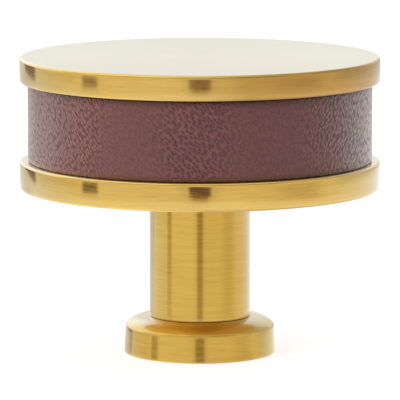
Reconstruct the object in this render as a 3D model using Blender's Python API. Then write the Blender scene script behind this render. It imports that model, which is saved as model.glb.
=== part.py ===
"""Round cabinet knob with a leather-covered head.

A domed brass foot and a brass stem carry the head: two brass discs with a leather-covered
wooden drum between them, drawn together by a threaded stud on the axis.
Sizes are metres. +Z points from the cabinet front towards the hand, and the origin is the
centre of the foot's underside, which lies against the cabinet front.
"""

import math

import bmesh
import bpy
from mathutils import Matrix, Vector

# Whole knob
HEAD_DIAMETER = 0.0381
PROJECTION = 0.03175

# Brass discs above and below the leather
TOP_DISC_THICKNESS = 0.0029
LOWER_DISC_THICKNESS = 0.0028
DISC_UPPER_ROUND = 0.00035
DISC_LOWER_ROUND = 0.00015
DISC_RIM_CROWN = 0.00005

# Leather strip, and the space between the discs that it fills
DISC_SPACING = 0.00845
LEATHER_SETBACK = 0.00087
LEATHER_THICKNESS = 0.0012
LEATHER_EDGE_ROUND = 0.00035
LEATHER_BUTT_GAP = 0.0003

# Stem, with a thinner spigot at each end
STEM_DIAMETER = 0.0107
STEM_SHOULDER = 0.00134
STEM_EDGE_ROUND = 0.0002
SPIGOT_RISE = 0.003
SPIGOT_RECESS = 0.0003

# Domed foot
FOOT_OVERHANG = 0.0027
FOOT_RIM_HEIGHT = 0.0028
FOOT_RIM_TAPER = 0.00015
FOOT_DOME_RISE = 0.0011
FOOT_LOWER_ROUND = 0.0001

# Threads: one size for the cabinet screw and for the stud in the head
THREAD_OUTER_DIAMETER = 0.00417
THREAD_CORE_DIAMETER = 0.00345
SCREW_HOLE_MOUTH = 0.0003
STEM_WEB = 0.0043
DRILL_POINT_ANGLE = math.radians(118)

# Boss under the top disc, and the stud that draws the head together
BOSS_DIAMETER = 0.01
BOSS_HEIGHT = 0.003
STUD_DEPTH_IN_STEM = 0.005
STUD_DEPTH_IN_DISC = 0.0034
STUD_CHAMFER = 0.0003

# Gap between two pieces that seat on or in each other
CLEARANCE = 0.0003

# Fineness of the turned surfaces
HEAD_STEPS = 64
STEM_STEPS = 48
ROUND_STEPS = 3
DOME_STEPS = 7
MERGE_DISTANCE = 1e-7
SHARP_ANGLE = math.radians(35)

# Radii and heights that follow from the sizes above
head_radius = HEAD_DIAMETER / 2
rim_radius = head_radius - DISC_RIM_CROWN
stem_radius = STEM_DIAMETER / 2
spigot_radius = stem_radius - STEM_SHOULDER
boss_radius = BOSS_DIAMETER / 2
stud_radius = THREAD_OUTER_DIAMETER / 2
stud_hole_radius = stud_radius + CLEARANCE
top_disc_z = PROJECTION - TOP_DISC_THICKNESS
lower_disc_top_z = top_disc_z - DISC_SPACING
lower_disc_z = lower_disc_top_z - LOWER_DISC_THICKNESS
spigot_top_z = lower_disc_top_z + SPIGOT_RISE
boss_z = top_disc_z - BOSS_HEIGHT
stem_z = FOOT_RIM_HEIGHT + FOOT_DOME_RISE + CLEARANCE
drum_z = lower_disc_top_z + CLEARANCE
drum_height = DISC_SPACING - 2 * CLEARANCE
leather_radius = head_radius - LEATHER_SETBACK
leather_inner_radius = leather_radius - LEATHER_THICKNESS


def clear_scene():
    for obj in list(bpy.data.objects):
        bpy.data.objects.remove(obj)


def finish_material(name, colour, roughness, metallic):
    """A material with one colour and one finish."""
    material = bpy.data.materials.new(name)
    material.use_nodes = True
    shader = material.node_tree.nodes["Principled BSDF"]
    shader.inputs["Base Color"].default_value = (*colour, 1)
    shader.inputs["Roughness"].default_value = roughness
    shader.inputs["Metallic"].default_value = metallic
    return material


def rounded(corners):
    """Outline points from corners of (radius, height) or (radius, height, size of the round)."""
    points = []
    for i, corner in enumerate(corners):
        place = Vector(corner[:2])
        if len(corner) == 2:
            points.append(place)
            continue
        size = corner[2]
        back = (Vector(corners[i - 1][:2]) - place).normalized()
        ahead = (Vector(corners[(i + 1) % len(corners)][:2]) - place).normalized()
        half = back.angle(ahead) / 2
        centre = place + (back + ahead).normalized() * size / math.sin(half)
        first = place + back * size / math.tan(half) - centre
        sweep = math.copysign(math.pi - 2 * half, ahead.cross(back))
        for step in range(ROUND_STEPS + 1):
            points.append(centre + Matrix.Rotation(sweep * step / ROUND_STEPS, 2) @ first)
    return points


def add_piece(name, bm, z, material):
    """Closes the mesh, turns its faces outwards and sets it down at height z."""
    bmesh.ops.remove_doubles(bm, verts=bm.verts, dist=MERGE_DISTANCE)
    bmesh.ops.recalc_face_normals(bm, faces=bm.faces)
    mesh = bpy.data.meshes.new(name)
    bm.to_mesh(mesh)
    bm.free()
    mesh.shade_smooth()
    mesh.set_sharp_from_angle(angle=SHARP_ANGLE)
    mesh.materials.append(material)
    piece = bpy.data.objects.new(name, mesh)
    piece.location.z = z
    bpy.context.scene.collection.objects.link(piece)
    return piece


def turned(name, corners, steps, z, material):
    """A piece turned on the axis. Corners that begin and end on the axis leave no hole through it."""
    bm = bmesh.new()
    points = [bm.verts.new((x, 0, height)) for x, height in rounded(corners)]
    ends = points[1:] if points[0].co.x == 0 else points[1:] + points[:1]
    edges = [bm.edges.new(pair) for pair in zip(points, ends)]
    bmesh.ops.spin(
        bm, geom=points + edges, axis=(0, 0, 1), angle=math.tau, steps=steps, use_merge=True
    )
    return add_piece(name, bm, z, material)


def disc_edge(thickness):
    """The slightly crowned rim of a brass disc, from its underside to its top."""
    return [
        (rim_radius, 0, DISC_LOWER_ROUND),
        (head_radius, thickness / 2),
        (rim_radius, thickness, DISC_UPPER_ROUND),
    ]


def make_base_flange(material):
    """Foot turned from brass bar: a tapered rim, and a quarter-ellipse dome up to the stem."""
    bore_radius = spigot_radius + CLEARANCE
    foot_radius = stem_radius + FOOT_OVERHANG
    top_of_rim = foot_radius - FOOT_RIM_TAPER
    dome_width = top_of_rim - stem_radius
    dome = []
    for step in range(DOME_STEPS + 1):
        turn = math.pi / 2 * step / DOME_STEPS
        across = stem_radius + dome_width * math.cos(turn)
        dome.append((across, FOOT_RIM_HEIGHT + FOOT_DOME_RISE * math.sin(turn)))
    corners = [
        (bore_radius, 0),
        (foot_radius, 0, FOOT_LOWER_ROUND),
        *dome,
        (bore_radius, FOOT_RIM_HEIGHT + FOOT_DOME_RISE),
    ]
    return turned("base_flange", corners, STEM_STEPS, 0, material)


def make_stem(material):
    """Brass post. The lower spigot sits in the foot, the upper one passes the lower disc.

    The cabinet screw's hole runs up from below, and the stud's hole down from above.
    """
    length = lower_disc_z - CLEARANCE - stem_z
    spigot_bottom = SPIGOT_RECESS - stem_z
    spigot_top = spigot_top_z - stem_z
    stud_hole_floor = spigot_top - STUD_DEPTH_IN_STEM - CLEARANCE
    core_radius = THREAD_CORE_DIAMETER / 2
    drill_tip = stud_hole_floor - STEM_WEB
    drill_point = core_radius / math.tan(DRILL_POINT_ANGLE / 2)
    corners = [
        (0, stud_hole_floor),
        (stud_hole_radius, stud_hole_floor),
        (stud_hole_radius, spigot_top),
        (spigot_radius, spigot_top),
        (spigot_radius, length),
        (stem_radius, length, STEM_EDGE_ROUND),
        (stem_radius, 0, STEM_EDGE_ROUND),
        (spigot_radius, 0),
        (spigot_radius, spigot_bottom),
        (core_radius + SCREW_HOLE_MOUTH, spigot_bottom),
        (core_radius, spigot_bottom + SCREW_HOLE_MOUTH),
        (core_radius, drill_tip - drill_point),
        (0, drill_tip),
    ]
    return turned("stem", corners, STEM_STEPS, stem_z, material)


def make_lower_disc(material):
    """Brass disc that sits on the stem's shoulder, with the upper spigot through its bore."""
    bore_radius = spigot_radius + CLEARANCE
    corners = [
        (bore_radius, 0),
        *disc_edge(LOWER_DISC_THICKNESS),
        (bore_radius, LOWER_DISC_THICKNESS),
    ]
    return turned("lower_disc", corners, HEAD_STEPS, lower_disc_z, material)


def make_core_drum(material):
    """Wooden drum, counterbored below for the stem's spigot and above for the top disc's boss."""
    lower_counterbore = spigot_radius + CLEARANCE
    upper_counterbore = boss_radius + CLEARANCE
    upper_floor = drum_height - BOSS_HEIGHT
    drum_radius = leather_inner_radius - CLEARANCE
    corners = [
        (lower_counterbore, 0),
        (drum_radius, 0),
        (drum_radius, drum_height),
        (upper_counterbore, drum_height),
        (upper_counterbore, upper_floor),
        (stud_hole_radius, upper_floor),
        (stud_hole_radius, SPIGOT_RISE),
        (lower_counterbore, SPIGOT_RISE),
    ]
    return turned("core_drum", corners, HEAD_STEPS, drum_z, material)


def make_leather_band(material):
    """Leather strip bent round the drum, its two ends meeting at a butt seam at the back."""
    corners = [
        (leather_inner_radius, 0),
        (leather_radius, 0, LEATHER_EDGE_ROUND),
        (leather_radius, drum_height, LEATHER_EDGE_ROUND),
        (leather_inner_radius, drum_height),
    ]
    open_angle = LEATHER_BUTT_GAP / leather_radius
    bm = bmesh.new()
    section = [bm.verts.new((x, 0, height)) for x, height in rounded(corners)]
    end_face = bm.faces.new(section)
    first_end = math.pi / 2 + open_angle / 2
    bmesh.ops.rotate(bm, verts=section, matrix=Matrix.Rotation(first_end, 3, "Z"))
    bmesh.ops.spin(
        bm,
        geom=[*section, *end_face.edges, end_face],
        axis=(0, 0, 1),
        angle=math.tau - open_angle,
        steps=HEAD_STEPS,
    )
    return add_piece("leather_band", bm, drum_z, material)


def make_top_disc(material):
    """Brass disc that closes the head, with a boss below for the stud."""
    stud_hole_floor = STUD_DEPTH_IN_DISC + CLEARANCE - BOSS_HEIGHT
    corners = [
        (0, stud_hole_floor),
        (stud_hole_radius, stud_hole_floor),
        (stud_hole_radius, -BOSS_HEIGHT),
        (boss_radius, -BOSS_HEIGHT),
        (boss_radius, 0),
        *disc_edge(TOP_DISC_THICKNESS),
        (0, TOP_DISC_THICKNESS),
    ]
    return turned("top_disc", corners, HEAD_STEPS, top_disc_z, material)


def make_assembly_stud(material):
    """Steel stud, chamfered at both ends, from the stem into the top disc's boss."""
    stud_z = spigot_top_z - STUD_DEPTH_IN_STEM
    length = boss_z + STUD_DEPTH_IN_DISC - stud_z
    corners = [
        (0, 0),
        (stud_radius - STUD_CHAMFER, 0),
        (stud_radius, STUD_CHAMFER),
        (stud_radius, length - STUD_CHAMFER),
        (stud_radius - STUD_CHAMFER, length),
        (0, length),
    ]
    return turned("assembly_stud", corners, STEM_STEPS, stud_z, material)


clear_scene()
brass = finish_material("brushed brass", (0.64, 0.41, 0.10), 0.3, 1)
leather = finish_material("brown leather", (0.16, 0.076, 0.070), 0.55, 0)
wood = finish_material("turned beech", (0.52, 0.34, 0.19), 0.6, 0)
steel = finish_material("zinc-plated steel", (0.55, 0.56, 0.58), 0.35, 1)

knob = bpy.data.objects.new("knob", None)
bpy.context.scene.collection.objects.link(knob)
for piece in (
    make_base_flange(brass),
    make_stem(brass),
    make_lower_disc(brass),
    make_core_drum(wood),
    make_leather_band(leather),
    make_top_disc(brass),
    make_assembly_stud(steel),
):
    piece.parent = knob
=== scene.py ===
import math

import bmesh
import bpy
from mathutils import Matrix, Vector


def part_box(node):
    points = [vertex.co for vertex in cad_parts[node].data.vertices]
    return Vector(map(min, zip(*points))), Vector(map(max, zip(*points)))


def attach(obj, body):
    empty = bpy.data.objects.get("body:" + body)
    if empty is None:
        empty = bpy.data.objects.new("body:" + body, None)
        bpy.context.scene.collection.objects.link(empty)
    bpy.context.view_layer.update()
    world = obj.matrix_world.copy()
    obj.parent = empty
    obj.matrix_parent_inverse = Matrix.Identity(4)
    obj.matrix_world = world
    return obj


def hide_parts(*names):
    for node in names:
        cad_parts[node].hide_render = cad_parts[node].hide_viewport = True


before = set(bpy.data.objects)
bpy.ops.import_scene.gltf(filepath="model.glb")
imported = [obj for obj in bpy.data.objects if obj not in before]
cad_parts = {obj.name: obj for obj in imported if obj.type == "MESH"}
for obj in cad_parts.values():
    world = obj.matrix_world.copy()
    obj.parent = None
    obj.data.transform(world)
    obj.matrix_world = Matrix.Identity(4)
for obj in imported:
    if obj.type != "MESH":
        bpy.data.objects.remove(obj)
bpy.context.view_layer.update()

# The foot
# A collar turned from brass bar: a rim with a slight taper, and a dome that rises to the stem.
# It is pressed on the stem's lower spigot, and its flat underside lies against the drawer front.

foot_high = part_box("base_flange")[1]
foot_radius = foot_high.x
STEM_RADIUS = 0.00535
SPIGOT_RADIUS = 0.00401
HAIRLINE = 0.00002
FOOT_RIM_HEIGHT = 0.0028
FOOT_RIM_TAPER = 0.00015
FOOT_LOWER_ROUND = 0.00012
DOME_START_DROP = 0.00005
DOME_SHOULDER_INSET = 0.00002
DOME_SHOULDER_DROP = 0.00062
DOME_CROWN_INSET = 0.00115
DOME_CROWN_DROP = 0.00002
DOME_STEPS = 24
TURNED_STEPS = 256
EDGE_MARGIN = 0.0004
CLEAN_DISTANCE = 1e-7
EDGE_TOLERANCE = 2e-6
ROUND_SEGMENTS = 6
SHARP_ANGLE = 32


class Wire:
    """One output in a node tree. Sums on it add the Math nodes that work them out."""

    def __init__(self, tree, socket=None):
        self.tree = tree
        self.socket = socket

    def node(self, kind, settings=None, inputs=None, output=0):
        """Adds a node with its settings, feeds its sockets numbers or wires, and gives one output."""
        made = self.tree.nodes.new(kind)
        for name, value in (settings or {}).items():
            setattr(made, name, value)
        for name, value in (inputs or {}).items():
            if isinstance(value, Wire):
                self.tree.links.new(value.socket, made.inputs[name])
            else:
                made.inputs[name].default_value = value
        return Wire(self.tree, made.outputs[output])

    def sum(self, operation, *values):
        """The result of one Math node."""
        return self.node("ShaderNodeMath", {"operation": operation}, dict(enumerate(values)))

    def __add__(self, other):
        return self.sum("ADD", self, other)

    def __sub__(self, other):
        return self.sum("SUBTRACT", self, other)

    def __rsub__(self, other):
        return self.sum("SUBTRACT", other, self)

    def __mul__(self, other):
        return self.sum("MULTIPLY", self, other)

    def __truediv__(self, other):
        return self.sum("DIVIDE", self, other)

    __radd__ = __add__
    __rmul__ = __mul__

    def ramp(self, low, high, first=0.0, last=1.0):
        """Eases from first to last as this value goes from low to high."""
        places = {"From Min": low, "From Max": high, "To Min": first, "To Max": last}
        return self.node(
            "ShaderNodeMapRange",
            {"interpolation_type": "SMOOTHSTEP"},
            {"Value": self, **places},
        )

    def noise(self, vector, scale, detail, roughness):
        """Noise from 0 to 1, most of it within NOISE_SPAN."""
        values = {"Vector": vector, "Scale": scale, "Detail": detail, "Roughness": roughness}
        return self.node("ShaderNodeTexNoise", inputs=values)

    def blend(self, factor, first, second, kind="MIX"):
        """A colour between two colours, or with MULTIPLY the first one times the second."""
        colours = {0: factor}
        for index, colour in ((6, first), (7, second)):
            colours[index] = colour if isinstance(colour, Wire) else (*colour, 1)
        settings = {"data_type": "RGBA", "blend_type": kind}
        return self.node("ShaderNodeMix", settings, colours, output=2)


def new_material(name):
    """A material with its bare Principled shader, and a wire on its tree."""
    material = bpy.data.materials.new(name)
    material.use_nodes = True
    return material, material.node_tree.nodes["Principled BSDF"], Wire(material.node_tree)


def link(shader, name, wire):
    """Feeds the shader's named socket from the wire."""
    wire.tree.links.new(wire.socket, shader.inputs[name])


def turned_coordinates(wire):
    """The object's x, y and z, and the distance from its axis."""
    place = wire.node("ShaderNodeTexCoord", output="Object")
    x, y, z = (wire.node("ShaderNodeSeparateXYZ", inputs={0: place}, output=i) for i in range(3))
    radius = wire.sum("SQRT", x * x + y * y)
    return x, y, z, radius


# Scales of the brush lines, of the wider bands among them and of the mottle
LINES_ACROSS = 420
LINES_ALONG = 9500
BANDS_ACROSS = 90
BANDS_ALONG = 2600
MOTTLE_SCALE = 160

# The spans that most of a noise's values lie in, and how much each noise does to the brass
NOISE_SPAN = (0.3, 0.7)
WIDE_NOISE_SPAN = (0.25, 0.75)
LINES_SHADE = 0.45
BANDS_SHADE = 0.3
MOTTLE_SHADE = 0.25
LINES_ROUGHNESS = 0.06
LINES_DEPTH = 0.7
BANDS_DEPTH = 0.3
BRUSH_DEPTH = 0.000004
DULL_ROUGHNESS = 0.14
DULL_FADE = 0.0004
BRUSH_ANISOTROPY = 0.7
QUARTER_TURN = 0.25
LACQUER_IOR = 1.6
LACQUER_ROUGHNESS = 0.08


def brushed_brass(name, deep, bright, roughness, grip, dull_z=1.0):
    """Clear-lacquered brass with fine brush lines round the axis, as deep as the grip says.

    Above dull_z it is duller. Left out, that is far above the knob.
    """
    material, shader, wire = new_material(name)
    x, y, z, radius = turned_coordinates(wire)
    along = z - radius
    lines_place = wire.node(
        "ShaderNodeCombineXYZ",
        inputs={0: x * LINES_ACROSS, 1: y * LINES_ACROSS, 2: along * LINES_ALONG},
    )
    bands_place = wire.node(
        "ShaderNodeCombineXYZ",
        inputs={0: x * BANDS_ACROSS, 1: y * BANDS_ACROSS, 2: along * BANDS_ALONG},
    )
    mottle_place = wire.node("ShaderNodeTexCoord", output="Object")
    lines = wire.noise(lines_place, 1.0, detail=3.0, roughness=0.6)
    bands = wire.noise(bands_place, 1.0, detail=2.0, roughness=0.5)
    mottle = wire.noise(mottle_place, MOTTLE_SCALE, detail=3.0, roughness=0.5)
    shade = (
        lines.ramp(*NOISE_SPAN) * LINES_SHADE
        + bands.ramp(*NOISE_SPAN) * BANDS_SHADE
        + mottle.ramp(*NOISE_SPAN) * MOTTLE_SHADE
    )
    link(shader, "Base Color", wire.blend(shade, deep, bright))
    streaks = lines.ramp(*WIDE_NOISE_SPAN) * LINES_ROUGHNESS
    dull = z.ramp(dull_z, dull_z + DULL_FADE) * DULL_ROUGHNESS
    link(shader, "Roughness", roughness + streaks + dull)
    height = lines * LINES_DEPTH + bands * BANDS_DEPTH
    bump = wire.node(
        "ShaderNodeBump", inputs={"Strength": grip, "Distance": BRUSH_DEPTH, "Height": height}
    )
    link(shader, "Normal", bump)
    shader.inputs["Metallic"].default_value = 1
    shader.inputs["Anisotropic"].default_value = BRUSH_ANISOTROPY
    shader.inputs["Anisotropic Rotation"].default_value = QUARTER_TURN
    shader.inputs["Coat Weight"].default_value = 1
    shader.inputs["Coat IOR"].default_value = LACQUER_IOR
    shader.inputs["Coat Roughness"].default_value = LACQUER_ROUGHNESS
    return material


TURNED_DEEP = (0.57, 0.354, 0.038)
TURNED_BRIGHT = (0.69, 0.446, 0.072)
foot_brass = brushed_brass(
    "brushed brass, foot",
    TURNED_DEEP,
    TURNED_BRIGHT,
    roughness=0.17,
    grip=0.25,
    dull_z=FOOT_RIM_HEIGHT,
)


def held(outline):
    """The outline with a point near both ends of each long run, which keeps the run straight."""
    points = []
    for index, (start, end) in enumerate(zip(outline, outline[1:] + outline[:1])):
        points.append(start)
        run = math.dist(start, end)
        if run > 3 * EDGE_MARGIN and (start[0] > 0 or index == 0):
            for share in (EDGE_MARGIN / run, 1 - EDGE_MARGIN / run):
                points.append(tuple(a + (b - a) * share for a, b in zip(start, end)))
    return points


def turn(outline, steps=TURNED_STEPS):
    """A bmesh turned on the axis from a closed outline, or from one that ends on the axis."""
    bm = bmesh.new()
    points = [bm.verts.new((radius, 0, z)) for radius, z in held(outline)]
    ends = points[1:] if outline[0][0] == 0 else points[1:] + points[:1]
    edges = [bm.edges.new(pair) for pair in zip(points, ends)]
    bmesh.ops.spin(
        bm, geom=points + edges, axis=(0, 0, 1), angle=math.tau, steps=steps, use_merge=True
    )
    bmesh.ops.remove_doubles(bm, verts=bm.verts, dist=CLEAN_DISTANCE)
    bmesh.ops.recalc_face_normals(bm, faces=bm.faces)
    return bm


def soften(bm, radius, z, width):
    """Rounds the circular edge of a turned piece at that radius and height."""

    def on_circle(vert):
        return max(abs(vert.co.z - z), abs(vert.co.xy.length - radius)) < EDGE_TOLERANCE

    ring = [edge for edge in bm.edges if all(on_circle(vert) for vert in edge.verts)]
    bmesh.ops.bevel(
        bm,
        geom=ring,
        offset=width,
        offset_type="OFFSET",
        affect="EDGES",
        segments=ROUND_SEGMENTS,
        profile=0.5,
        material=-1,
    )


def add_piece(name, bm, material, node):
    """Makes the object from the bmesh, and puts it in its CAD node's place."""
    mesh = bpy.data.meshes.new(name)
    bm.to_mesh(mesh)
    bm.free()
    mesh.shade_smooth()
    mesh.set_sharp_from_angle(angle=math.radians(SHARP_ANGLE))
    mesh.materials.append(material)
    piece = bpy.data.objects.new(name, mesh)
    bpy.context.scene.collection.objects.link(piece)
    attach(piece, "root")
    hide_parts(node)


# The dome's outline is a Bezier curve with these four points
rim_top = foot_radius - FOOT_RIM_TAPER
bends = [
    (rim_top, FOOT_RIM_HEIGHT - DOME_START_DROP),
    (rim_top - DOME_SHOULDER_INSET, foot_high.z - DOME_SHOULDER_DROP),
    (rim_top - DOME_CROWN_INSET, foot_high.z - DOME_CROWN_DROP),
    (STEM_RADIUS, foot_high.z),
]
dome = []
for step in range(DOME_STEPS + 1):
    way = step / DOME_STEPS
    shares = ((1 - way) ** 3, 3 * way * (1 - way) ** 2, 3 * way**2 * (1 - way), way**3)
    point = (sum(share * bend[i] for share, bend in zip(shares, bends)) for i in range(2))
    dome.append(tuple(point))
foot = turn(
    [
        (SPIGOT_RADIUS + HAIRLINE, 0),
        (foot_radius, 0),
        *dome,
        (SPIGOT_RADIUS + HAIRLINE, foot_high.z),
    ]
)
soften(foot, foot_radius, 0, FOOT_LOWER_ROUND)
add_piece("foot", foot, foot_brass, "base_flange")

# The stem
# A post turned from brass bar. Its thinner ends pass into the foot and through the lower disc.
# The tapped hole in its lower end takes the screw that comes through the drawer front.

stem_low, stem_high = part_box("stem")
stem_top_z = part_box("lower_disc")[0].z
STEM_STEPS = 128
STEM_EDGE_ROUND = 0.0002
STEM_FOOT_ROUND = 0.00005
STUD_HOLE_RADIUS = 0.0023
STUD_HOLE_DEPTH = 0.0053
THREAD_CORE_RADIUS = 0.001725
THREAD_DEPTH = 0.00036
THREAD_PITCH = 0.000794
THREAD_LENGTH = 0.0118
ROWS_PER_TURN = 15
GROOVE_WIDTH = 1.15
GROOVE_SLOPE = 2.6
HOLE_MOUTH = 0.0003
HOLE_TOLERANCE = 1e-6
DRILL_POINT = 0.00104

stem_brass = brushed_brass(
    "brushed brass, stem", TURNED_DEEP, TURNED_BRIGHT, roughness=0.15, grip=0.35
)
hole_start = stem_low.z + HOLE_MOUTH
thread_rows = round(THREAD_LENGTH / THREAD_PITCH * ROWS_PER_TURN)
hole_wall = [
    (THREAD_CORE_RADIUS, hole_start + THREAD_LENGTH * row / thread_rows)
    for row in range(thread_rows + 1)
]
stem = turn(
    [
        (0, stem_high.z - STUD_HOLE_DEPTH),
        (STUD_HOLE_RADIUS, stem_high.z - STUD_HOLE_DEPTH),
        (STUD_HOLE_RADIUS, stem_high.z),
        (SPIGOT_RADIUS, stem_high.z),
        (SPIGOT_RADIUS, stem_top_z - HAIRLINE),
        (STEM_RADIUS, stem_top_z - HAIRLINE),
        (STEM_RADIUS, foot_high.z + HAIRLINE),
        (SPIGOT_RADIUS, foot_high.z + HAIRLINE),
        (SPIGOT_RADIUS, stem_low.z),
        (THREAD_CORE_RADIUS + THREAD_DEPTH + HOLE_MOUTH, stem_low.z),
        *hole_wall,
        (0, hole_wall[-1][1] + DRILL_POINT),
    ],
    steps=STEM_STEPS,
)
for vert in stem.verts:
    height = vert.co.z - hole_start
    on_wall = abs(vert.co.xy.length - THREAD_CORE_RADIUS) < HOLE_TOLERANCE
    if on_wall and -HOLE_TOLERANCE < height < THREAD_LENGTH - HOLE_TOLERANCE:
        turns = (height / THREAD_PITCH - math.atan2(vert.co.y, vert.co.x) / math.tau) % 1
        groove = min(1, max(0, GROOVE_WIDTH - abs(turns - 0.5) * GROOVE_SLOPE))
        fade = min(1, (THREAD_LENGTH - height) / THREAD_PITCH)
        vert.co.xy *= 1 + THREAD_DEPTH * groove * fade / THREAD_CORE_RADIUS
soften(stem, STEM_RADIUS, stem_top_z - HAIRLINE, STEM_EDGE_ROUND)
soften(stem, STEM_RADIUS, foot_high.z + HAIRLINE, STEM_FOOT_ROUND)
add_piece("stem_post", stem, stem_brass, "stem")

# The lower disc
# A disc turned from brass bar, brushed and lacquered, with a rim that is very slightly crowned.
# It sits on the stem's shoulder, round the stem's upper spigot, and the drum clamps it there.

band_low, band_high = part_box("leather_band")
lower_low, lower_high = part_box("lower_disc")
seat_gap = band_low.z - lower_high.z
LOWER_TOP_RISE = 0.00015
TOP_UNDER_RISE = 0.00006
lower_top_z = lower_high.z + LOWER_TOP_RISE
top_under_z = band_high.z + seat_gap + TOP_UNDER_RISE
head_radius = lower_high.x
DISC_STEPS = 384
RIM_CROWN = 0.00005
RIM_STEPS = 12
LOWER_RIM_LEAN = 0.00003
LEDGE_ROUND = 0.00024
DISC_LOWER_ROUND = 0.00015

DISC_DEEP = (0.605, 0.388, 0.07)
DISC_BRIGHT = (0.74, 0.50, 0.112)
disc_brass = brushed_brass(
    "brushed brass, lower disc", DISC_DEEP, DISC_BRIGHT, roughness=0.08, grip=0.2
)


def crowned_rim(low, high, lean):
    """The rim of a disc from its underside to its top, crowned about mid height.

    The lean is how far its lower edge stands back behind its upper edge.
    """
    margin = EDGE_MARGIN / (high - low)
    ways = [margin + (1 - 2 * margin) * step / RIM_STEPS for step in range(RIM_STEPS + 1)]
    rim = []
    for way in (0, *ways, 1):
        drop = RIM_CROWN * (2 * way - 1) ** 2 + lean * (1 - way)
        rim.append((head_radius - drop, low + (high - low) * way))
    return rim


lower_disc = turn(
    [
        (SPIGOT_RADIUS + HAIRLINE, lower_low.z),
        *crowned_rim(lower_low.z, lower_top_z, LOWER_RIM_LEAN),
        (SPIGOT_RADIUS + HAIRLINE, lower_top_z),
    ],
    steps=DISC_STEPS,
)
soften(lower_disc, head_radius - RIM_CROWN - LOWER_RIM_LEAN, lower_low.z, DISC_LOWER_ROUND)
soften(lower_disc, head_radius - RIM_CROWN, lower_top_z, LEDGE_ROUND)
add_piece("lower_brass_disc", lower_disc, disc_brass, "lower_disc")

# The drum
# A core turned from beech, hidden in the head, with growth rings round its axis. It carries the
# leather and is clamped between the discs, over the stem's upper end and the top disc's boss.

FIBRE_SCALES = (900, 900, 60)
RING_SCALE = 180.0
FIBRE_SHADE = 0.6
RING_SHADE = 0.4
BEECH_DARK = (0.40, 0.25, 0.13)
BEECH_PALE = (0.62, 0.43, 0.26)
BEECH_ROUGHNESS = 0.6
FIBRE_ROUGHNESS = 0.2
FIBRE_GRIP = 0.3
FIBRE_DEPTH = 0.00005

beech, shader, wire = new_material("turned beech")
place = wire.node("ShaderNodeTexCoord", output="Object")
fibres_place = wire.node(
    "ShaderNodeVectorMath", {"operation": "MULTIPLY"}, {0: place, 1: FIBRE_SCALES}
)
fibres = wire.noise(fibres_place, 1.0, detail=4.0, roughness=0.6)
rings = wire.node(
    "ShaderNodeTexWave",
    {"wave_type": "RINGS", "rings_direction": "Z"},
    {"Vector": place, "Scale": RING_SCALE, "Distortion": 3.0, "Detail": 2.0},
    output=1,
)
wood_shade = fibres * FIBRE_SHADE + rings * RING_SHADE
link(shader, "Base Color", wire.blend(wood_shade, BEECH_DARK, BEECH_PALE))
link(shader, "Roughness", BEECH_ROUGHNESS + fibres * FIBRE_ROUGHNESS)
bump = wire.node(
    "ShaderNodeBump", inputs={"Strength": FIBRE_GRIP, "Distance": FIBRE_DEPTH, "Height": fibres}
)
link(shader, "Normal", bump)


def finish_in(node, material):
    """Gives the material to a piece that keeps its CAD mesh."""
    slots = bpy.data.objects[node].data.materials
    slots.clear()
    slots.append(material)


finish_in("core_drum", beech)

# The leather band
# A strip of fine-grained reddish brown leather, cut to width and glued round the drum. Its two
# ends meet in a butt seam at the back. Its lower cut edge is a brown band: partly its own colour,
# partly painted warm light from the brass below, and a painted shadow towards the right.

LEATHER_THICKNESS = 0.0012
LEATHER_UPPER_ROUND = 0.00022
LEATHER_LOWER_ROUND = 0.00013
LEATHER_LOWER_GAP = 0.00003
LEATHER_UPPER_GAP = 0.0001
LEATHER_STEPS = 720
SEAM_GAP = 0.00006
leather_radius = band_high.x
leather_low_z = lower_top_z + LEATHER_LOWER_GAP
leather_high_z = top_under_z - LEATHER_UPPER_GAP

# Stretches along the strip, in metres to the right of its front, over which its look changes
DRAWN_TO = (-0.0125, -0.0085)
DRAWN_FROM = (0.0095, 0.0155)
PITTED_FROM = (-0.006, -0.002)
PITTED_TO = (0.001, 0.0045)
LEAN_TURNS = (-0.003, 0.003)
CUT_SHADOW_SPAN = (-0.018, -0.005)

# Noise that makes the borders of those stretches and the rows of grain wander
PATCH_SCALE = 160
PATCH_WANDER = 0.006
SWAY_SCALE = 500
SWAY = 0.0006

# Grain: its size, and how deep it is everywhere, where the hide is drawn and where it is pitted
PEBBLE_REACH = 0.75
PEBBLE_SMOOTHNESS = 0.4
FAINT_RELIEF = 0.12
DRAWN_RELIEF = 0.7
PITTED_RELIEF = 0.4
FINE_RELIEF = 0.06
PIT_LEVEL = 0.4
GRAIN_HEIGHT = 0.00016
FINE_SCALE = 9000
WORN_SCALE = 130

# Tone, from 0 for the dark colour to 1 for the pale one
TONE_LEVEL = 0.44
RELIEF_LIGHT_AND_SHADE = 0.86
FINE_TONE = 0.36
WORN_TONE = 0.06
DRAWN_TONE_AND_LIGHT = 0.12
PITTED_TONE_AND_SHADE = 0.03
CAP_SHADOW_DEPTH = 0.7
CAP_SHADOW_DROPS = (0.0009, 0.0001)
CUT_HEIGHTS = (0.00032, 0.00058)
LEATHER_PALE = (0.262, 0.094, 0.09)
LEATHER_DARK = (0.045, 0.007, 0.008)
LEATHER_WARMTH = (1.06, 0.91, 0.79)
CUT_EDGE_AND_WARM_LIGHT = (0.22, 0.075, 0.033)
CUT_PAINTED_SHADOW = (0.11, 0.036, 0.021)

# Shine: the satin surface, the dressing that shows at a glancing angle, and the short nap
SATIN_ROUGHNESS = 0.32
RIDGE_POLISH = 0.06
DRESSING_ANGLES = (0.2, 0.62)
DRESSING = 0.9
RIDGE_DRESSING = 1.2
DRESSING_ROUGHNESS = 0.26
DRESSING_IOR = 1.6
NAP = 0.6
NAP_ROUGHNESS = 0.33

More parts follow.
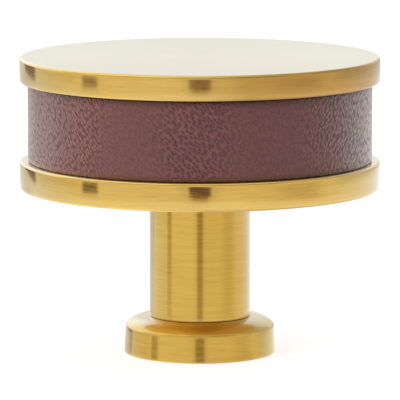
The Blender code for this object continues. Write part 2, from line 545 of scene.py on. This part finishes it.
leather, shader, wire = new_material("reddish brown leather")
x, y, z, radius = turned_coordinates(wire)
around = wire.sum("ARCTAN2", x, 0 - y) * leather_radius
rise = z - (leather_low_z + leather_high_z) / 2
flat = wire.node("ShaderNodeCombineXYZ", inputs={0: around, 1: z, 2: 0.0})
spot = around + (wire.noise(flat, PATCH_SCALE, detail=2.0, roughness=0.5) - 0.5) * PATCH_WANDER
drawn = spot.ramp(*DRAWN_TO, 1.0, 0.0) + spot.ramp(*DRAWN_FROM)
pitted = spot.ramp(*PITTED_FROM) * spot.ramp(*PITTED_TO, 1.0, 0.0)
sway = (wire.noise(flat, SWAY_SCALE, detail=2.0, roughness=0.5) - 0.5) * SWAY


def pebbled(lean, across, along):
    """From 1 on a pebble to 0 between two, in rows that lean to the left as they rise.

    With a lean under 0 they lean to the right.
    """
    inputs = {0: (around + rise * lean + sway) * across, 1: (rise - around * lean) * along}
    place = wire.node("ShaderNodeCombineXYZ", inputs=inputs)
    settings = {"voronoi_dimensions": "2D", "feature": "SMOOTH_F1"}
    away = wire.node(
        "ShaderNodeTexVoronoi",
        settings,
        {"Vector": place, "Scale": 1.0, "Smoothness": PEBBLE_SMOOTHNESS},
    )
    return away.ramp(0.0, PEBBLE_REACH, 1.0, 0.0)


on_left = spot.ramp(*LEAN_TURNS, 1.0, 0.0)
left_rows = pebbled(lean=0.72, across=2900, along=1650)
right_rows = pebbled(lean=-0.3, across=2900, along=1700)
ridges = left_rows * on_left + right_rows * (1 - on_left) - 0.5
pits = PIT_LEVEL - pebbled(lean=1.0, across=2150, along=1350)
fine = wire.noise(flat, FINE_SCALE, detail=2.0, roughness=0.6).ramp(*NOISE_SPAN) - 0.5
worn = wire.noise(flat, WORN_SCALE, detail=2.0, roughness=0.5).ramp(*NOISE_SPAN) - 0.5
drawn_ridges = ridges * (FAINT_RELIEF + drawn * DRAWN_RELIEF)
relief = drawn_ridges + pits * (FAINT_RELIEF + pitted * PITTED_RELIEF)
# Partly the grain's own tone, partly painted light and shade: ridges lighter, creases and pits darker
tone = TONE_LEVEL + relief * RELIEF_LIGHT_AND_SHADE + fine * FINE_TONE + worn * WORN_TONE
# Partly the hide's own tone, partly painted light and shade: drawn sides lighter and warmer, pitted
# middle darker
tone = tone + drawn * DRAWN_TONE_AND_LIGHT - pitted * PITTED_TONE_AND_SHADE
# Painted shadow: the leather is darkened towards its top edge, under the top disc
painted_cap_shadow = z.ramp(*(leather_high_z - drop for drop in CAP_SHADOW_DROPS))
hide = wire.blend(tone * (1 - painted_cap_shadow * CAP_SHADOW_DEPTH), LEATHER_DARK, LEATHER_PALE)
hide = wire.blend(drawn, hide, LEATHER_WARMTH, "MULTIPLY")
# Partly the cut edge's own colour, partly painted warm light from the brass, and painted shadow to
# the right
cut_edge_and_shadow = wire.blend(spot.ramp(*CUT_SHADOW_SPAN), CUT_EDGE_AND_WARM_LIGHT, CUT_PAINTED_SHADOW)
on_cut = z.ramp(*(leather_low_z + height for height in CUT_HEIGHTS), 1.0, 0.0)
link(shader, "Base Color", wire.blend(on_cut, hide, cut_edge_and_shadow))
bump = wire.node(
    "ShaderNodeBump",
    inputs={"Strength": 1.0, "Distance": GRAIN_HEIGHT, "Height": relief + fine * FINE_RELIEF},
)
link(shader, "Normal", bump)
link(shader, "Roughness", SATIN_ROUGHNESS - ridges * RIDGE_POLISH)
glancing = wire.node("ShaderNodeLayerWeight", inputs={"Blend": 0.5}, output="Facing")
dressing = glancing.ramp(*DRESSING_ANGLES) * (DRESSING + ridges * drawn * RIDGE_DRESSING)
link(shader, "Coat Weight", dressing)
shader.inputs["Coat Roughness"].default_value = DRESSING_ROUGHNESS
shader.inputs["Coat IOR"].default_value = DRESSING_IOR
shader.inputs["Sheen Weight"].default_value = NAP
shader.inputs["Sheen Roughness"].default_value = NAP_ROUGHNESS

outline = held(
    [
        (leather_radius - LEATHER_THICKNESS, leather_low_z),
        (leather_radius, leather_low_z),
        (leather_radius, leather_high_z),
        (leather_radius - LEATHER_THICKNESS, leather_high_z),
    ]
)
seam_angle = SEAM_GAP / leather_radius
band = bmesh.new()
section = [band.verts.new((radius, 0, z)) for radius, z in outline]
end_face = band.faces.new(section)
bmesh.ops.rotate(
    band,
    verts=section,
    matrix=Matrix.Rotation(math.pi / 2 + seam_angle / 2, 3, "Z"),
)
bmesh.ops.spin(
    band,
    geom=[*section, *end_face.edges, end_face],
    axis=(0, 0, 1),
    angle=math.tau - seam_angle,
    steps=LEATHER_STEPS,
)
bmesh.ops.recalc_face_normals(band, faces=band.faces)
soften(band, leather_radius, leather_low_z, LEATHER_LOWER_ROUND)
soften(band, leather_radius, leather_high_z, LEATHER_UPPER_ROUND)
add_piece("leather_strip", band, leather, "leather_band")

# The stud
# A short length of threaded rod in zinc-plated steel, hidden on the axis of the head. It screws
# into the stem's upper end and into the top disc's boss, and so draws the head together.

SPANGLE_SCALE = 2500
ZINC_DARK = (0.42, 0.44, 0.46)
ZINC_PALE = (0.66, 0.67, 0.69)
ZINC_ROUGHNESS = 0.28
SPANGLE_ROUGHNESS = 0.2
STUD_THREAD_GRIP = 0.8
STUD_THREAD_DEPTH = 0.0003

zinc, shader, wire = new_material("zinc-plated steel")
x, y, z, radius = turned_coordinates(wire)
thread = wire.sum("FRACT", z / THREAD_PITCH - wire.sum("ARCTAN2", y, x) / math.tau)
ridge = wire.sum("ABSOLUTE", thread - 0.5) * 2
spangle_place = wire.node("ShaderNodeTexCoord", output="Object")
spangle = wire.noise(spangle_place, SPANGLE_SCALE, detail=3.0, roughness=0.6)
link(shader, "Base Color", wire.blend(spangle, ZINC_DARK, ZINC_PALE))
link(shader, "Roughness", ZINC_ROUGHNESS + spangle * SPANGLE_ROUGHNESS)
bump = wire.node(
    "ShaderNodeBump",
    inputs={"Strength": STUD_THREAD_GRIP, "Distance": STUD_THREAD_DEPTH, "Height": ridge},
)
link(shader, "Normal", bump)
shader.inputs["Metallic"].default_value = 1
finish_in("assembly_stud", zinc)

# The top disc
# A disc turned from brass bar that closes the head. The stud screws into the boss on its
# underside. Its rim is painted darker, with a thinner coat, on the right and a little in its lower
# half, as painted dark reflections.

BOSS_RADIUS = 0.005
STUD_DEPTH_IN_DISC = 0.0037
CAP_SINK = 0.0002
TOP_RIM_LEAN = 0.00003
DISC_UPPER_ROUND = 0.0003
RIM_SHADE_TINT = (0.72, 0.64, 0.84)
SHADED_SIDE_FROM = (-0.02, 0.3)
SHADED_SIDE_TO = (2.3, 2.9)
RIM_DROPS = (0.0003, 0.00015)
RIM_MIDDLE = (0.0296, 0.0306)
SHADED_SIDE_DEPTH = 0.9
LOWER_HALF_SHADE = 0.2
SHADED_COAT_LOSS = 0.75
top_low, top_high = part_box("top_disc")
cap_top_z = top_high.z - CAP_SINK

cap_brass = brushed_brass(
    "brushed brass, top disc", DISC_DEEP, DISC_BRIGHT, roughness=0.12, grip=0.2
)
shader = cap_brass.node_tree.nodes["Principled BSDF"]
wire = Wire(cap_brass.node_tree)
plain = Wire(cap_brass.node_tree, shader.inputs["Base Color"].links[0].from_socket)
x, y, z, radius = turned_coordinates(wire)
# Painted reflection: the rim is darkened and its coat thinned on the right side and in its lower half
bearing = wire.sum("ARCTAN2", x, 0 - y)
shaded_side = bearing.ramp(*SHADED_SIDE_FROM) * bearing.ramp(*SHADED_SIDE_TO, 1.0, 0.0)
on_rim = radius.ramp(*(head_radius - drop for drop in RIM_DROPS))
lower_half = z.ramp(*RIM_MIDDLE, 1.0, 0.0)
painted_rim_shade = on_rim * (shaded_side * SHADED_SIDE_DEPTH + (1 - shaded_side) * lower_half * LOWER_HALF_SHADE)
link(shader, "Base Color", wire.blend(painted_rim_shade, plain, RIM_SHADE_TINT, "MULTIPLY"))
link(shader, "Coat Weight", 1 - painted_rim_shade * SHADED_COAT_LOSS)

top_disc = turn(
    [
        (0, top_low.z + STUD_DEPTH_IN_DISC),
        (STUD_HOLE_RADIUS, top_low.z + STUD_DEPTH_IN_DISC),
        (STUD_HOLE_RADIUS, top_low.z),
        (BOSS_RADIUS, top_low.z),
        (BOSS_RADIUS, top_under_z),
        *crowned_rim(top_under_z, cap_top_z, TOP_RIM_LEAN),
        (0, cap_top_z),
    ],
    steps=DISC_STEPS,
)
soften(top_disc, head_radius - RIM_CROWN - TOP_RIM_LEAN, top_under_z, DISC_LOWER_ROUND)
soften(top_disc, head_radius - RIM_CROWN, cap_top_z, DISC_UPPER_ROUND)
add_piece("top_brass_disc", top_disc, cap_brass, "top_disc")

# The floor and the light
# A pale tabletop, a white studio tent with narrow dark gaps where its panels meet, and a large
# soft lamp on the upper left.

FLOOR_RADIUS = 0.5
FLOOR_SIDES = 128
TABLE_PAINT = (0.38, 0.38, 0.38, 1)
TABLE_GLOW = (0.72, 0.72, 0.72)
TABLE_ROUGHNESS = 0.9
TABLE_SHINE = 0.1
floor_mesh = bmesh.new()
bmesh.ops.create_circle(floor_mesh, cap_ends=True, segments=FLOOR_SIDES, radius=FLOOR_RADIUS)
bmesh.ops.translate(floor_mesh, verts=floor_mesh.verts, vec=(0, 0, -HAIRLINE))
mesh = bpy.data.meshes.new("floor")
floor_mesh.to_mesh(mesh)
floor_mesh.free()
floor = bpy.data.objects.new("floor", mesh)
bpy.context.scene.collection.objects.link(floor)
floor.visible_glossy = False
table, shader, wire = new_material("white tabletop")
mesh.materials.append(table)
shader.inputs["Base Color"].default_value = TABLE_PAINT
shader.inputs["Roughness"].default_value = TABLE_ROUGHNESS
shader.inputs["Specular IOR Level"].default_value = TABLE_SHINE
seen = wire.node("ShaderNodeLightPath", output="Is Camera Ray")
link(shader, "Emission Color", wire.blend(seen, (0, 0, 0), TABLE_GLOW))
shader.inputs["Emission Strength"].default_value = 1
painted = Wire(table.node_tree, shader.outputs[0])
from_below = wire.node("ShaderNodeNewGeometry", output="Backfacing")
clear = wire.node("ShaderNodeBsdfTransparent")
surface = wire.node("ShaderNodeMixShader", inputs={0: from_below, 1: painted, 2: clear})
table.node_tree.links.new(surface.socket, table.node_tree.nodes["Material Output"].inputs[0])

world = bpy.data.worlds.new("studio tent")
world.use_nodes = True
bpy.context.scene.world = world
wire = Wire(world.node_tree)
direction = wire.node("ShaderNodeTexCoord", output="Generated")
x, y, z = (wire.node("ShaderNodeSeparateXYZ", inputs={0: direction}, output=i) for i in range(3))
azimuth = wire.sum("ARCTAN2", x, 0 - y) * (180 / math.pi)
elevation = wire.sum("ARCSINE", z) * (180 / math.pi)


def between(value, start, end):
    """1 between two soft edges, each given as the pair of values that it eases over."""
    return value.ramp(*start) * value.ramp(*end, 1.0, 0.0)


GAP_LOW_BLUR = 0.4
GAP_HIGH_BLUR = 0.5


def gap(centre, half_width, depth, low, high=-1.7, soft=0.15, slant=0.0):
    """How much of the light a dark gap between two panels leaves, as a factor."""
    away = wire.sum("ABSOLUTE", azimuth - centre)
    inside = away.ramp(half_width * (1 - soft), half_width * (1 + soft), 1.0, 0.0)
    above = elevation + (azimuth - centre) * slant
    starts = above.ramp(low - GAP_LOW_BLUR, low + GAP_LOW_BLUR)
    ends = elevation.ramp(high - GAP_HIGH_BLUR, high + GAP_HIGH_BLUR, 1.0, 0.0)
    return 1 - inside * (starts * ends) * depth


# Parts of the tent, by azimuth to the right of the camera and by elevation, in degrees
sideways = wire.sum("ABSOLUTE", azimuth)
aside = sideways.ramp(75.0, 115.0)
in_front = 1 - aside
on_right = azimuth.ramp(0.0, 25.0)
left_end = azimuth.ramp(-150.0, -130.0, 1.0, 0.0)
left_fall = 1 - azimuth.ramp(-145.0, -125.0, 1.0, 0.0) * 0.5
left_side = azimuth.ramp(-90.0, -78.0, 1.0, 0.0) * left_fall
right_back = between(azimuth, (85.0, 110.0), (168.0, 174.0))
underneath = elevation.ramp(-24.0, -17.0, 1.0, 0.0)
over_table = elevation.ramp(-13.1, -10.1)
level = elevation.ramp(-4.0, 2.0)
low_wall = between(elevation, (-8.8, -6.6), (-1.0, 3.0))
ceiling = elevation.ramp(36.0, 52.0)
upper_wall = elevation.ramp(6.0, 12.0) * (1 - ceiling)
facing_wall = upper_wall * sideways.ramp(45.0, 80.0, 1.0, 0.0)
lamp_patch = between(azimuth, (-105.0, -75.0), (-30.0, -10.0)) * between(
    elevation, (18.0, 30.0), (55.0, 65.0)
)
left_back = between(azimuth, (-174.0, -168.0), (-110.0, -90.0)) * between(
    elevation, (-3.0, 4.0), (40.0, 60.0)
)
right_upper = between(azimuth, (60.0, 90.0), (135.0, 150.0)) * between(
    elevation, (8.0, 14.0), (60.0, 75.0)
)
right_low = right_back * between(elevation, (-8.0, -5.0), (3.0, 5.0))

# How bright these parts are, as the shares that each adds or takes
UNDER_LIGHT = 1.18
TABLE_LOSS = 0.18
CEILING_GAIN = 0.15
WALL_LOSS = 0.3
RIGHT_WALL_LOSS = 0.15
LAMP_PATCH_GAIN = 0.5
LEFT_BACK_GAIN = 0.4
RIGHT_UPPER_LOSS = 0.36
RIGHT_LOW_LOSS = 0.28
LEFT_END_LOSS = 0.15
light = (
    (UNDER_LIGHT - over_table * TABLE_LOSS + ceiling * CEILING_GAIN)
    * (1 - facing_wall * (WALL_LOSS + on_right * RIGHT_WALL_LOSS))
    * (1 + lamp_patch * LAMP_PATCH_GAIN)
    * (1 + left_back * LEFT_BACK_GAIN)
    * (1 - right_upper * RIGHT_UPPER_LOSS)
    * (1 - right_low * RIGHT_LOW_LOSS)
    * (1 - left_end * (1 - level) * LEFT_END_LOSS)
)
FRONT_GAP = 0.0
LEFT_GAP = -74.0
LEFT_BACK_GAP = -139.5
RIGHT_GAP = 68.0
gaps = (
    gap(FRONT_GAP, half_width=6.8, depth=1.0, low=-8.7, high=-0.3)
    * gap(FRONT_GAP, half_width=4.8, depth=0.95, low=-10.5)
    * gap(FRONT_GAP, half_width=12.0, depth=0.2, low=-12.0, high=3.0, soft=0.6)
    * gap(LEFT_GAP, half_width=5.9, depth=0.78, low=-8.75, high=-2.0, soft=0.25)
    * gap(LEFT_GAP, half_width=5.9, depth=0.82, low=-8.75, high=-5.7, soft=0.25)
    * gap(LEFT_BACK_GAP, half_width=9.8, depth=0.9, low=-7.0, high=-1.0, soft=0.22, slant=0.13)
    * gap(RIGHT_GAP, half_width=14.0, depth=0.25, low=-11.5, soft=0.8)
)

# The tints of these parts and of the gaps, mixed first and then multiplied
FRONT_LEFT = (1.0, 0.945, 0.80)
FRONT_RIGHT = (0.94, 0.85, 0.66)
FRONT_UPPER = (1.0, 0.84, 0.66)
SIDE_LEFT = (0.96, 1.01, 1.06)
SIDE_RIGHT = (1.0, 1.02, 1.04)
LOW_FRONT = (0.99, 1.02, 0.98)
LOW_LEFT_END = (0.92, 0.9, 0.82)
HIGH_WALL = (0.905, 0.92, 0.89)
LOW_LEFT_WARMTH = (0.86, 0.78, 0.66)
RIGHT_BACK_WARMTH = (1.0, 0.95, 0.85)
SIDE_COOLNESS = (1.03, 1.15, 1.5)
UNDER_LEFT = (1.2, 1.15, 1.25)
UNDER_RIGHT = (0.80, 0.70, 0.94)
GAP_LOWER = (0.38, 0.04, 0.0)
GAP_UPPER = (0.14, 0.08, 0.1)
front_low = wire.blend(on_right, FRONT_LEFT, FRONT_RIGHT)
front = wire.blend(upper_wall * in_front, front_low, FRONT_UPPER)
side = wire.blend(azimuth.ramp(-20.0, 20.0), SIDE_LEFT, SIDE_RIGHT)
low_tint = wire.blend(left_end, wire.blend(aside, LOW_FRONT, side), LOW_LEFT_END)
tint = wire.blend(level, low_tint, HIGH_WALL)
tint = wire.blend(in_front * over_table * (1 - ceiling), tint, front)
tint = wire.blend(low_wall * left_side, tint, LOW_LEFT_WARMTH, "MULTIPLY")
tint = wire.blend(right_back * elevation.ramp(-9.0, -6.0), tint, RIGHT_BACK_WARMTH, "MULTIPLY")
tint = wire.blend(aside * elevation.ramp(13.0, 20.0), tint, SIDE_COOLNESS, "MULTIPLY")
under_tint = wire.blend(azimuth.ramp(-60.0, 20.0), UNDER_LEFT, UNDER_RIGHT)
tint = wire.blend(underneath, tint, under_tint, "MULTIPLY")
hollow = wire.blend(elevation.ramp(-9.8, -8.2), GAP_LOWER, GAP_UPPER)
shade = wire.blend(gaps, hollow, tint)
tent = wire.node("ShaderNodeBackground", inputs={"Color": shade, "Strength": light})

# Only reflections show the tent. Rough surfaces get an even wash, and the camera sees white
WASH = 0.78
WASH_RIGHT_GAIN = 0.4
WHITE = (1, 1, 1, 1)
wash_light = WASH + azimuth.ramp(30.0, 100.0) * WASH_RIGHT_GAIN
wash = wire.node("ShaderNodeBackground", inputs={"Color": WHITE, "Strength": wash_light})
mirrored = wire.node("ShaderNodeLightPath", output="Is Glossy Ray")
lit = wire.node("ShaderNodeMixShader", inputs={0: mirrored, 1: wash, 2: tent})
backdrop = wire.node("ShaderNodeBackground", inputs={"Color": WHITE, "Strength": 1.0})
camera_ray = wire.node("ShaderNodeLightPath", output="Is Camera Ray")
both = wire.node("ShaderNodeMixShader", inputs={0: camera_ray, 1: lit, 2: backdrop})
world.node_tree.links.new(both.socket, world.node_tree.nodes["World Output"].inputs[0])

LAMP_PLACE = Vector((-0.42, -0.40, 0.22))
LAMP_SIZE = 0.22
LAMP_POWER = 1.9
lamp_data = bpy.data.lights.new("soft lamp", "AREA")
lamp_data.shape = "DISK"
lamp_data.size = LAMP_SIZE
lamp_data.energy = LAMP_POWER
lamp = bpy.data.objects.new("soft lamp", lamp_data)
lamp.location = LAMP_PLACE
lamp.rotation_euler = LAMP_PLACE.to_track_quat("Z", "Y").to_euler()
lamp.visible_glossy = False
bpy.context.scene.collection.objects.link(lamp)

# The camera
# A long lens a little under half a metre in front of the knob and a little above it. It looks
# slightly down, is level from side to side, and its picture gets no tone curve.

CAMERA_DISTANCE = 0.4431
CAMERA_HEIGHT = 0.0791
CAMERA_PITCH = 8.08
CAMERA_LENS = 380.1
CAMERA_NEAR = 0.05
CAMERA_FAR = 5
camera_data = bpy.data.cameras.new("camera")
camera_data.lens = CAMERA_LENS
camera_data.clip_start = CAMERA_NEAR
camera_data.clip_end = CAMERA_FAR
camera = bpy.data.objects.new("camera", camera_data)
camera.location = (0, -CAMERA_DISTANCE, CAMERA_HEIGHT)
camera.rotation_euler = (math.radians(90 - CAMERA_PITCH), 0, 0)
bpy.context.scene.collection.objects.link(camera)
bpy.context.scene.camera = camera
bpy.context.scene.view_settings.view_transform = "Standard"
